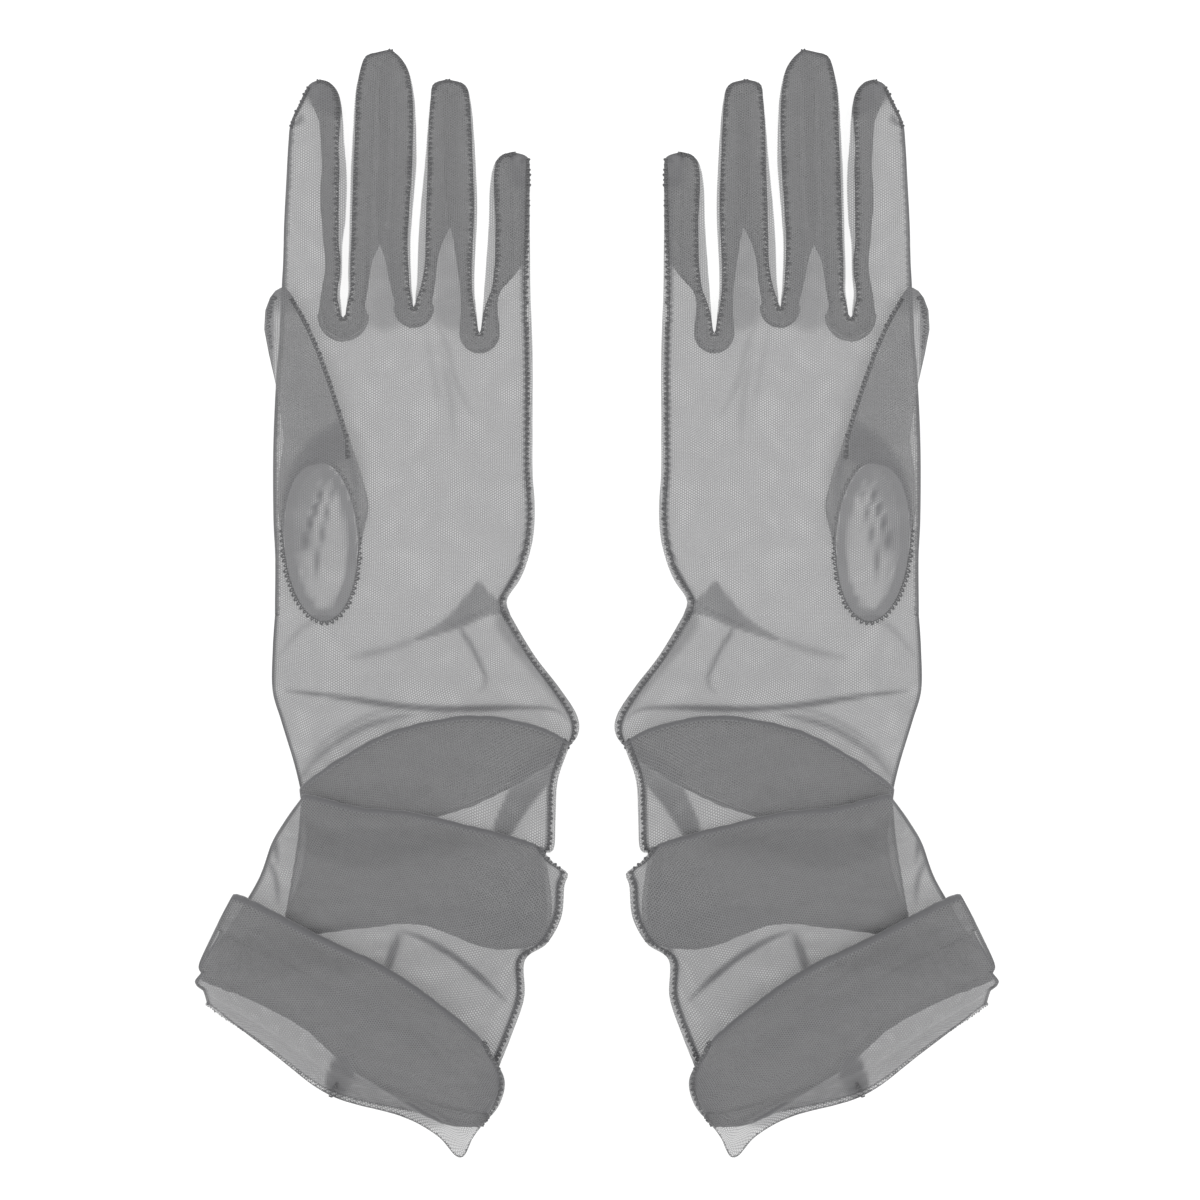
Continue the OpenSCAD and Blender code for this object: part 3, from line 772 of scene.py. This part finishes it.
def sleeve_rings():
    """The sleeve's upper and lower plies, the row where each pass starts, which rows are turns, how far
    each row lies along the cloth and how wide it is.
    """
    upper, lower, starts, turning = sleeve_surface()
    u = across()
    width = np.linalg.norm(upper[:, -1] - upper[:, 0], axis=1)[:, None]
    left_d, right_d = u[None] * width, (1 - u[None]) * width - SEAM_MARGIN
    d = np.minimum(left_d, np.maximum(right_d, 0.02))
    t = 1 - np.clip(d / EDGE_ROLL, 0, 1)
    half = SLEEVE_HALF * np.sqrt(np.maximum(0, 1 - t * t))
    blend_in = np.clip(np.arange(len(upper)) / 22, 0, 1)[:, None]
    hand = parting(upper[:, :, :2].reshape(-1, 2)).reshape(half.shape)
    half = hand * (1 - ease(blend_in)) + half * ease(blend_in)
    along = np.concatenate([[0], np.cumsum(np.linalg.norm(np.diff(upper[:, COLUMNS // 2], axis=0), axis=1))])
    plies = []
    for surface, sign in ((upper, 1), (lower, -1)):
        down = np.gradient(surface, axis=0)
        over = np.gradient(surface, axis=1)
        n = np.cross(over, down)
        n /= np.maximum(np.linalg.norm(n, axis=2), 1e-9)[:, :, None]
        n *= -1
        crumple = np.array([[ripple(p, 3.0) for p in row] for row in surface]) * ease(blend_in)
        fine = np.array([[noise.noise(Vector((c * 0.35, r * 0.22, 11.0 * sign))) for c in range(COLUMNS)]
                         for r in range(len(surface))]) * 0.28 * ease(blend_in)
        p = surface + n * (sign * half + fine * (half / SLEEVE_HALF))[:, :, None]
        p[:, :, 2] += crumple
        p[:, :, 2] += swell(p[:, :, 0], p[:, :, 1]) * (1 - 0.6 * ease(blend_in))
        plies.append(p)
    return (*plies, starts, turning, along, width)


SLEEVE_TOP, SLEEVE_BOTTOM, PASS_STARTS, TURNING, ALONG, SLEEVE_WIDTH = sleeve_rings()


def sleeve_piece(name, side, first, last, material):
    """The sleeve's tube between two of its rows."""
    span = slice(first, last + 1)
    width = SLEEVE_WIDTH[span]
    rows = last - first + 1
    ring = np.concatenate([SLEEVE_TOP[span], SLEEVE_BOTTOM[span, ::-1]], axis=1)
    cols = ring.shape[1]
    points = ring.reshape(-1, 3)
    faces = [tuple(reversed(f)) for f in tube_faces(rows, cols)]
    u = across()[None] * width
    uu = np.concatenate([u, -u[:, ::-1]], axis=1)
    vv = np.repeat(ALONG[span], cols).reshape(rows, cols)
    uvs = np.stack([uu, -vv], axis=2).reshape(-1, 2)
    edge_left = np.concatenate([u, u[:, ::-1]], axis=1)
    edge_right = np.concatenate([width - u, (width - u)[:, ::-1]], axis=1)
    # crowding at the rolled edge, the side seam and the turns; it also darkens the colour as painted shade
    density = 0.6 * np.exp(-(edge_left / 0.8) ** 2)
    density = np.maximum(density, 0.45 * np.exp(-((edge_right - SEAM_MARGIN) / 0.5) ** 2))
    density = np.maximum(density, 0.5 * TURNING[span][:, None])
    xy = points[:, :2]
    flat = np.maximum(density.ravel(), creased(xy, SLEEVE_CREASES + HAND_CREASES,
                                               SLEEVE_PATCHES + HAND_PATCHES))
    each_pass = np.interp(np.arange(first, last + 1), np.array(PASS_STARTS) + 8, PASS_CROWDING_AND_SHADE)
    flat += np.repeat(each_pass, cols) * np.clip(-(points[:, 1] - WRIST_CUT_Y) / 20, 0, 1)
    return weld(make(name, side, points, faces, uvs, material, flat), 0.004)


def sleeve_seam_line(first, last):
    """The side seam along the sleeve, just inside its right edge."""
    line = []
    for r in range(first, last + 1):
        share = 1 - SEAM_MARGIN / SLEEVE_WIDTH[r][0]
        middle = (SLEEVE_TOP[r] + SLEEVE_BOTTOM[r]) / 2
        line.append([np.interp(share, across(), middle[:, k]) for k in range(3)])
    return np.array(line)


# ---------------------------------------------------------------- materials
def linear(hex_colour):
    """An sRGB hex colour as linear RGBA."""
    parts = [int(hex_colour[i:i + 2], 16) / 255 for i in (1, 3, 5)]
    return (*(c / 12.92 if c <= 0.04045 else ((c + 0.055) / 1.055) ** 2.4 for c in parts), 1.0)


def add(tree, kind, links=None, values=None, **settings):
    """Adds a node. Links and values name an input by its name or index; settings are the node's
    properties, or the values of inputs whose names are single words or joined by underscores.
    """
    node = tree.nodes.new(kind)
    for key, value in settings.items():
        if hasattr(node, key):
            setattr(node, key, value)
        else:
            node.inputs[key.replace("_", " ")].default_value = value
    for socket, value in (values or {}).items():
        node.inputs[socket].default_value = value
    for socket, source in (links or {}).items():
        tree.links.new(source, node.inputs[socket])
    return node


NET_PITCH = 0.82  # mm across one cell, a shade coarser than most glove tulle, so that the net reads
NET_GRAIN = 0.8  # degrees between the net's rows and the fold
NET_WANDER = 3.5  # mm, most that a row is pulled off its line
HOLE_ALPHA, YARN_ALPHA = 0.30, 0.72
NET_FINE = 2 * math.pi / (NET_PITCH * MM * math.sqrt(3) / 2)


def mixed(tree, share, first, second):
    """A mix of two colours, given in sRGB hex."""
    return add(tree, "ShaderNodeMix", {0: share}, data_type="RGBA", A=linear(first), B=linear(second))


def blank_material(name):
    material = bpy.data.materials.new(name)
    material.use_nodes = True
    material.node_tree.nodes.clear()
    return material, material.node_tree


def tulle(name, colour, shade, cover, crowd_gain):
    """Nylon tulle: a hexagonal net of fine yarn, knitted and heat-set, so mostly holes.

    Three waves at 60 degrees add up to a honeycomb. Where their sum is low there is yarn, and the
    threshold sets how much: cover is about the share of the surface that is yarn. Crowding, painted
    on the points, thickens the net where cloth doubles back on itself at a fold or seam, and darkens
    its colour towards shade: a painted shade for the layers of net shading each other.
    """
    material, tree = blank_material(name)
    cut = add(tree, "ShaderNodeUVMap", uv_map="flat_cut")
    # the net is soft, so its rows wander by a cell or two, and two plies of it look watered
    pull = add(tree, "ShaderNodeTexNoise", {"Vector": cut.outputs[0]}, Scale=24.0, Detail=2.0, Roughness=0.5)
    centred = add(tree, "ShaderNodeVectorMath", {0: pull.outputs["Color"]}, {1: (0.5, 0.5, 0.5)},
                  operation="SUBTRACT")
    wandering = add(tree, "ShaderNodeVectorMath", {0: centred.outputs[0]}, operation="SCALE",
                    Scale=NET_WANDER * MM)
    rows = add(tree, "ShaderNodeVectorMath", {0: cut.outputs[0], 1: wandering.outputs[0]}, operation="ADD")
    waves = []
    for angle in (NET_GRAIN, NET_GRAIN + 60, NET_GRAIN + 120):
        a = math.radians(angle)
        along = add(tree, "ShaderNodeVectorMath", {0: rows.outputs[0]},
                    {1: (NET_FINE * math.cos(a), NET_FINE * math.sin(a), 0)}, operation="DOT_PRODUCT")
        waves.append(add(tree, "ShaderNodeMath", {0: along.outputs["Value"]}, operation="COSINE"))
    pair = add(tree, "ShaderNodeMath", {0: waves[0].outputs[0], 1: waves[1].outputs[0]}, operation="ADD")
    net = add(tree, "ShaderNodeMath", {0: pair.outputs[0], 1: waves[2].outputs[0]}, operation="ADD")
    place = add(tree, "ShaderNodeTexCoord")
    uneven = add(tree, "ShaderNodeTexNoise", {"Vector": place.outputs["Object"]}, Scale=160.0, Detail=2.0)
    crowd = add(tree, "ShaderNodeAttribute", attribute_name="crowding_and_shade")
    wander = add(tree, "ShaderNodeMath", {0: uneven.outputs["Fac"]}, {1: 0.5}, operation="MULTIPLY")
    level = add(tree, "ShaderNodeMath", {0: wander.outputs[0]}, {1: cover - 0.25}, operation="ADD")
    depth = add(tree, "ShaderNodeMath", {0: level.outputs[0], 1: net.outputs[0]}, operation="SUBTRACT")
    # a hole still has the finest filaments across it, too thin to draw one by one
    yarn = add(tree, "ShaderNodeMapRange", {"Value": depth.outputs[0]},
               {"From Min": -1.0, "From Max": 1.0, "To Min": HOLE_ALPHA, "To Max": YARN_ALPHA},
               interpolation_type="SMOOTHSTEP")
    crowded = add(tree, "ShaderNodeMath", {0: crowd.outputs["Fac"], 2: yarn.outputs[0]}, {1: crowd_gain},
                  operation="MULTIPLY_ADD", use_clamp=True)
    # painted shade: where the net is crowded its colour darkens towards the shade colour, for layers that
    # shade each other
    layers = add(tree, "ShaderNodeMath", {0: crowd.outputs["Fac"]}, {1: 2.2}, operation="MULTIPLY",
                 use_clamp=True)
    painted_shade_colour = mixed(tree, layers.outputs[0], colour, shade)
    round_yarn = add(tree, "ShaderNodeBump", {"Height": depth.outputs[0]}, {"Distance": 0.1 * MM},
                     Strength=0.25)
    surface = add(tree, "ShaderNodeBsdfPrincipled",
                  {"Base Color": painted_shade_colour.outputs["Result"], "Alpha": crowded.outputs[0],
                   "Normal": round_yarn.outputs[0]},
                  {"Roughness": 0.62, "Sheen Weight": 0.25, "Sheen Roughness": 0.4})
    add(tree, "ShaderNodeOutputMaterial", {"Surface": surface.outputs[0]})
    material.surface_render_method = "DITHERED"
    return material


def overlock_thread():
    """Textured polyester overlock thread: fluffy, matt and a shade darker than the net."""
    material, tree = blank_material("textured_polyester_overlock_thread")
    place = add(tree, "ShaderNodeTexCoord")
    # filaments crimp about every 0.4 mm
    crimp = add(tree, "ShaderNodeTexNoise", {"Vector": place.outputs["Object"]}, Scale=2500.0, Detail=2.0)
    shade = mixed(tree, crimp.outputs["Fac"], "#3c3c3e", "#606062")
    crimped = add(tree, "ShaderNodeBump", {"Height": crimp.outputs["Fac"]}, {"Distance": 0.05 * MM},
                  Strength=0.5)
    surface = add(tree, "ShaderNodeBsdfPrincipled",
                  {"Base Color": shade.outputs["Result"], "Normal": crimped.outputs[0]},
                  {"Roughness": 0.8, "Sheen Weight": 0.3})
    add(tree, "ShaderNodeOutputMaterial", {"Surface": surface.outputs[0]})
    return material


# the second colour of each is the painted shade that crowded net darkens towards
TULLE = tulle("black_nylon_tulle", "#7c7c7d", "#5a5a5c", -0.42, 1.3)
TULLE_DOUBLED = tulle("black_nylon_tulle_fourchette", "#777778", "#727273", -0.42, 1.3)
THREAD = overlock_thread()


# ---------------------------------------------------------------- seams
def scaled(tree, value, factor):
    return add(tree, "ShaderNodeMath", {0: value}, {1: factor}, operation="MULTIPLY")


def seam_tree():
    """Geometry Nodes for an overlocked seam: a needle line on a curve, with loops over the cloth's edge."""
    tree = bpy.data.node_groups.new("overlocked_seam", "GeometryNodeTree")
    sockets = {}
    face = tree.interface
    face.new_socket("Geometry", in_out="INPUT", socket_type="NodeSocketGeometry")
    for label, value in (("Stitch Length", 1.6 * MM), ("Loop Width", 1.5 * MM),
                         ("Thread Radius", 0.15 * MM)):
        socket = face.new_socket(label, in_out="INPUT", socket_type="NodeSocketFloat")
        socket.default_value = value
        sockets[label] = socket.identifier
    face.new_socket("Geometry", in_out="OUTPUT", socket_type="NodeSocketGeometry")
    given = add(tree, "NodeGroupInput")
    section = add(tree, "GeometryNodeCurvePrimitiveCircle", {"Radius": given.outputs["Thread Radius"]},
                  Resolution=4)
    thin = scaled(tree, given.outputs["Thread Radius"], 0.4)
    needle = add(tree, "GeometryNodeCurvePrimitiveCircle", {"Radius": thin.outputs[0]}, Resolution=4)
    even = add(tree, "GeometryNodeResampleCurve",
               {"Curve": given.outputs["Geometry"], "Length": given.outputs["Stitch Length"]}, mode="LENGTH")
    line = add(tree, "GeometryNodeCurveToMesh",
               {"Curve": even.outputs[0], "Profile Curve": needle.outputs[0]})
    # one loop: out over the edge and back to the next needle hole
    half = scaled(tree, given.outputs["Stitch Length"], 0.3)
    back = scaled(tree, half.outputs[0], -1.0)
    out = scaled(tree, given.outputs["Loop Width"], 2.0)
    foot_a = add(tree, "ShaderNodeCombineXYZ", {"X": back.outputs[0]})
    foot_b = add(tree, "ShaderNodeCombineXYZ", {"X": half.outputs[0]})
    crown = add(tree, "ShaderNodeCombineXYZ", {"X": half.outputs[0], "Y": out.outputs[0]}, Z=0.5 * MM)
    bow = add(tree, "GeometryNodeCurveQuadraticBezier",
              {"Start": foot_a.outputs[0], "Middle": crown.outputs[0], "End": foot_b.outputs[0]},
              Resolution=6)
    loop = add(tree, "GeometryNodeCurveToMesh",
               {"Curve": bow.outputs[0], "Profile Curve": section.outputs[0]})
    heading = add(tree, "GeometryNodeInputTangent")
    aim = add(tree, "FunctionNodeAlignRotationToVector", {"Vector": heading.outputs[0]},
              axis="X", pivot_axis="Z")
    spots = add(tree, "GeometryNodeInstanceOnPoints",
                {"Points": even.outputs[0], "Instance": loop.outputs[0], "Rotation": aim.outputs[0]})
    wander = add(tree, "FunctionNodeRandomValue", None, {"Seed": 7, 2: 0.8, 3: 1.25}, data_type="FLOAT")
    sized = add(tree, "GeometryNodeScaleInstances",
                {"Instances": spots.outputs[0], "Scale": wander.outputs[1]})
    both = add(tree, "GeometryNodeJoinGeometry")
    tree.links.new(line.outputs[0], both.inputs[0])
    tree.links.new(sized.outputs[0], both.inputs[0])
    real = add(tree, "GeometryNodeRealizeInstances", {"Geometry": both.outputs[0]})
    dressed = add(tree, "GeometryNodeSetMaterial", {"Geometry": real.outputs[0]}, Material=THREAD)
    add(tree, "NodeGroupOutput", {"Geometry": dressed.outputs[0]})
    return tree, sockets


SEAM_TREE, SEAM_SOCKETS = seam_tree()


def seam(name, side, lines, inwards=1, pitch=1.6, width=1.05, radius=0.23):
    """Overlock stitching along lines drawn in a glove's millimetres. Inwards 1 puts the loops to the left."""
    curve = bpy.data.curves.new(name, "CURVE")
    curve.dimensions = "3D"
    for line in lines:
        line = np.array(line)
        spline = curve.splines.new("POLY")
        spline.points.add(len(line) - 1)
        flat = np.column_stack([to_metres(line, side), np.ones(len(line))])
        spline.points.foreach_set("co", flat.ravel())
    rough = placed(name + "_path", curve)
    stitches = rough.modifiers.new("stitches", "NODES")
    stitches.node_group = SEAM_TREE
    turn_over = 1 if side < 0 else -1
    for label, value in (("Stitch Length", pitch), ("Loop Width", width * inwards * turn_over),
                         ("Thread Radius", radius)):
        stitches[SEAM_SOCKETS[label]] = value * MM
    bpy.context.view_layer.update()
    shown = rough.evaluated_get(bpy.context.evaluated_depsgraph_get())
    mesh = bpy.data.meshes.new_from_object(shown)
    bpy.data.objects.remove(rough)
    bpy.data.curves.remove(curve)
    mesh.name = name
    obj = placed(name, mesh)
    return obj


def inset(line, amount):
    """A flat line moved to its left."""
    t = np.gradient(line, axis=0)
    t /= np.linalg.norm(t, axis=1)[:, None]
    return line + amount * np.stack([-t[:, 1], t[:, 0]], axis=1)


def lifted(line, amount):
    return np.column_stack([line[:, :2], line[:, 2] + amount])


def on_ply(path, which, lift=0.12):
    """A flat path laid on the palm's ply (1) or under the back's (-1)."""
    return np.column_stack([path, ply_height(path, which) + which * lift])


# ---------------------------------------------------------------- putting a glove together
def at(side, x, y, z=0.0):
    return tuple(to_metres([(x, y, z)], side)[0])


def bend_finger(obj, side, name):
    """Bakes the piece's transform into its mesh. Two points about the finger's knuckle line are worked out
    but not used.
    """
    bend = FINGERS[name]["bend"]
    at(side, 0, bend - 7)
    at(side, 0, bend + 8)
    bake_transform(obj)


def bend_wrist(obj, side, glove):
    at(side, 0, -7)
    at(side, 0, -25)
    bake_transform(obj)


def pull_gathers(obj, side, glove):
    at(side, 0, -38)
    at(side, 0, -78)
    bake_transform(obj)


def pull_cuff(obj, side, glove):
    """Bakes the piece's transform into its mesh. Two points across the slant of the cuff, from the clear
    stretch above it to its upper fold, are worked out but not used.
    """
    at(side, 0, -108)
    at(side, -6.5, -119.3)
    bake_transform(obj)


def build_hand(side, glove):
    palm = two_plies(f"{glove}_trank_hand", side, hand_outline(), TULLE, hole_rim())
    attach(palm, f"{glove}_hand")
    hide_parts(f"{glove}_palm", f"{glove}_back", f"{glove}_index_fold")
    sheet(palm)
    side_seam = on_ply(inset(smooth(SIDE_SEAM), SEAM_MARGIN), 1, 0.25)
    thread = seam(f"{glove}_side_seam_hand", side, [side_seam], inwards=-1)
    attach(thread, f"{glove}_hand")
    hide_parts(f"{glove}_hand_side_seam")


def build_fingers(side, glove):
    for name in ORDER:
        cloth = two_plies(f"{glove}_{name}_stall_cloth", side, finger_outline(name), TULLE)
        sheet(cloth)
        bend_finger(cloth, side, name)
        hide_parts(f"{glove}_{name}_stall")
        if name == "index":
            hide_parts(f"{glove}_index_stall_fold")
    for i in range(3):
        a, b = ORDER[i], ORDER[i + 1]
        for finger, edge_side in ((a, 1), (b, -1)):
            stem = f"{glove}_{a}_{b}_fourchette_{finger}_side"
            leg, path, inner = fourchette_leg(stem, side, i, edge_side, TULLE_DOUBLED)
            sheet(leg)
            bend_finger(leg, side, finger)
            if finger in ("index", "little"):
                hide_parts(f"{glove}_{finger}_fourchette")
            else:
                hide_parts(f"{glove}_{finger}_fourchette_{'b' if edge_side > 0 else 'a'}")
            if edge_side > 0:
                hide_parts(f"{glove}_{a}_{b}_gusset")
            thread = seam(f"{glove}_{a}_{b}_seam_{finger}_side", side, [on_ply(path, 1, 0.3)],
                          inwards=edge_side, width=1.0, radius=0.26)
            bend_finger(thread, side, finger)
            thread = seam(f"{glove}_{a}_{b}_inner_seam_{finger}_side", side, [inner],
                          inwards=-edge_side, width=1.0, radius=0.26)
            bend_finger(thread, side, finger)
    tip = inset(finger_edge("index", -1, 153.5), -0.9)[:-4]
    thread = seam(f"{glove}_index_tip_seam", side, [on_ply(tip, 1, 0.2)], pitch=1.2, width=0.8, radius=0.2)
    bend_finger(thread, side, "index")
    edge = finger_edge("little", 1, 90)[:-5]
    line = inset(edge, np.linspace(SEAM_MARGIN, 0.9, len(edge))[:, None])
    thread = seam(f"{glove}_side_seam_little", side, [on_ply(line, 1, 0.25)], inwards=-1)
    bend_finger(thread, side, "little")
    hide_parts(f"{glove}_little_side_seam")


def thumb_line(y, edge, beside, lift):
    """A line up the thumb, beside one of its edges and above its middle, in millimetres."""
    x = np.interp(y, THUMB_Y, edge) + beside
    return np.column_stack([x, y, HAND_Z + HAND_HALF + swell(x, y) + THUMB_RISE + lift])


def build_thumb(side, glove):
    cloth = thumb_cloth(f"{glove}_thumb_cloth", side, TULLE)
    sheet(cloth)
    low, high = at(side, 0, 41), at(side, 0, 56)
    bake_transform(cloth)
    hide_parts(f"{glove}_thumb_hood", f"{glove}_thumb_stall")
    rim = hole_rim(72)
    rim = np.vstack([rim, rim[:1]])
    thread = seam(f"{glove}_thumb_hole_seam", side, [on_ply(rim, 1, 0.25)], inwards=-1, width=1.0)
    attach(thread, f"{glove}_hand")
    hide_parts(f"{glove}_thumb_seam")
    inner = thumb_line(np.linspace(47, 97, 40), THUMB_RIGHT, -1.4, 0.75)
    outer = thumb_line(np.linspace(82, 98, 14), THUMB_LEFT, 0.8, 0.5)
    thread = seam(f"{glove}_thumb_seam_thread", side, [inner, outer], inwards=-1, width=1.1)
    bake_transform(thread)


def build_sleeve(side, glove):
    first_cut = int(np.searchsorted(ALONG, GATHER_CUT))
    second_cut = PASS_STARTS[4] + int(CUFF_CUT * PASS_ROWS[4])
    spans = (("wrist", 0, first_cut, bend_wrist, "wrist_sleeve", "wrist_seam"),
             ("gathers", first_cut, second_cut, pull_gathers, "gathers", "gather_seam"),
             ("cuff", second_cut, len(ALONG) - 1, pull_cuff, "cuff", "cuff_seam"))
    for label, first, last, bend, cloth_node, seam_node in spans:
        cloth = sleeve_piece(f"{glove}_trank_{label}", side, first, last, TULLE)
        hem = [mouth_hem(side, glove)] if label == "cuff" else []
        sheet(cloth)
        bend(cloth, side, glove)
        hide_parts(f"{glove}_{cloth_node}")
        lines = [lifted(sleeve_seam_line(first, last), 0.1)]
        if label == "cuff":
            lines.append(MOUTH_SEAM)
        thread = seam(f"{glove}_side_seam_{label}", side, lines, inwards=1)
        bend(thread, side, glove)
        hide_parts(f"{glove}_{seam_node}")


def mouth_hem(side, glove):
    """The mouth's raw edge, rolled and overlocked."""
    top, bottom = SLEEVE_TOP[-1], SLEEVE_BOTTOM[-1]
    ring = np.vstack([top, bottom[::-1], top[:1]])
    hem = seam(f"{glove}_rolled_hem", side, [ring], inwards=-1, pitch=0.9, width=0.45, radius=0.12)
    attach(hem, f"{glove}_cuff")
    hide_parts(f"{glove}_hem")
    return hem


for side, glove in ((-1, "left"), (1, "right")):
    build_hand(side, glove)
    build_fingers(side, glove)
    build_thumb(side, glove)
    build_sleeve(side, glove)


# ---------------------------------------------------------------- table, light and camera
def table():
    """A light table of opal acrylic. It glows, so the sheer cloth reads as layers and casts little shade."""
    material = bpy.data.materials.new("opal_acrylic_light_table")
    material.use_nodes = True
    surface = material.node_tree.nodes["Principled BSDF"]
    surface.inputs["Base Color"].default_value = linear("#999999")
    surface.inputs["Roughness"].default_value = 0.9
    surface.inputs["Specular IOR Level"].default_value = 0.1
    surface.inputs["Emission Color"].default_value = linear("#ffffff")
    surface.inputs["Emission Strength"].default_value = 0.78
    mesh = bpy.data.meshes.new("table")
    reach = 4.0
    mesh.from_pydata([(-reach, -reach, 0), (reach, -reach, 0), (reach, reach, 0), (-reach, reach, 0)], [],
                     [(0, 1, 2, 3)])
    mesh.materials.append(material)
    placed("table", mesh)


def lamp(name, place, aim, size, watts):
    light = bpy.data.lights.new(name, "AREA")
    light.shape = "SQUARE"
    light.size = size
    light.energy = watts
    obj = placed(name, light)
    obj.location = place
    obj.rotation_euler = (Vector(aim) - Vector(place)).to_track_quat("-Z", "Y").to_euler()


def studio():
    scene = bpy.context.scene
    world = bpy.data.worlds.new("white_room")
    world.use_nodes = True
    world.node_tree.nodes["Background"].inputs["Color"].default_value = (1, 1, 1, 1)
    world.node_tree.nodes["Background"].inputs["Strength"].default_value = 0.8
    scene.world = world
    lamp("soft_box_left", (-1.3, 0.5, 1.5), (0, 0, 0), 1.4, 17)
    lamp("soft_box_right", (1.3, 0.3, 1.5), (0, 0, 0), 1.4, 17)
    scene.view_settings.view_transform = "Standard"
    scene.cycles.transparent_max_bounces = 96


FRAME_SHARE = 1.0816  # the frame's height, in heights of the pair
CAMERA_SHIFT = 0.001  # metres that the camera stands to the right of the pair's middle, and above it


def camera():
    """Straight above the pair, far enough back that the view is nearly square-on."""
    low, high = CAD_BOX
    centre = [(a + b) / 2 for a, b in zip(low, high)]
    view = FRAME_SHARE * (high[1] - low[1])
    data = bpy.data.cameras.new("camera")
    data.lens = 100
    data.sensor_width = 36
    distance = view * data.lens / data.sensor_width
    obj = placed("camera", data)
    obj.location = (centre[0] + CAMERA_SHIFT, centre[1] + CAMERA_SHIFT, high[2] / 2 + distance)
    bpy.context.scene.camera = obj


table()
studio()
camera()
